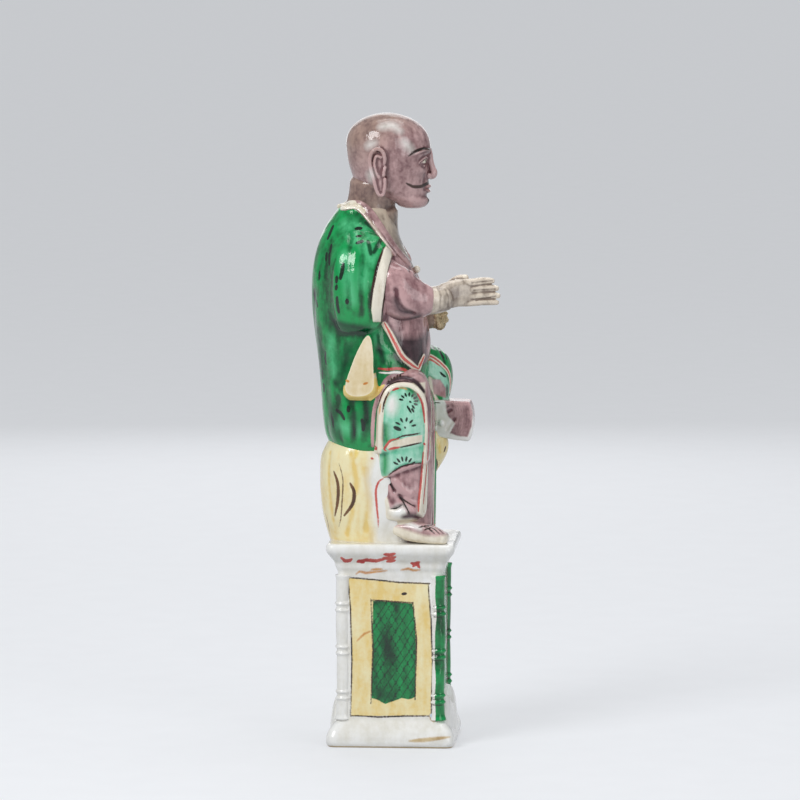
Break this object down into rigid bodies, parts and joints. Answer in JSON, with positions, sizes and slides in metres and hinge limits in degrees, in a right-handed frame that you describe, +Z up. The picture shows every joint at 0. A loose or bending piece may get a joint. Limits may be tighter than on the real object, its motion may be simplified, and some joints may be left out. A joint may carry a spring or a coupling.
{
  "type": "arhat statue",
  "caption": "Glazed porcelain figure of a bald arhat in a green robe, seated on a draped yellow seat on a tall square pedestal with bamboo-shaped corner posts.",
  "frame": {"origin": "under the middle of the part's outline, on the flat rim that it stands on", "axes": "+Z up, -Y the way the figure faces, -X the figure's right side"},
  "size_m": [0.0498, 0.0722, 0.2399],
  "materials": {
    "glazed_porcelain": "glossy glaze over porcelain biscuit, painted green, yellow, aubergine, white and iron red"
  },
  "bodies": {
    "root": {"arhat_statue": "glazed_porcelain"}
  },
  "joints": []
}
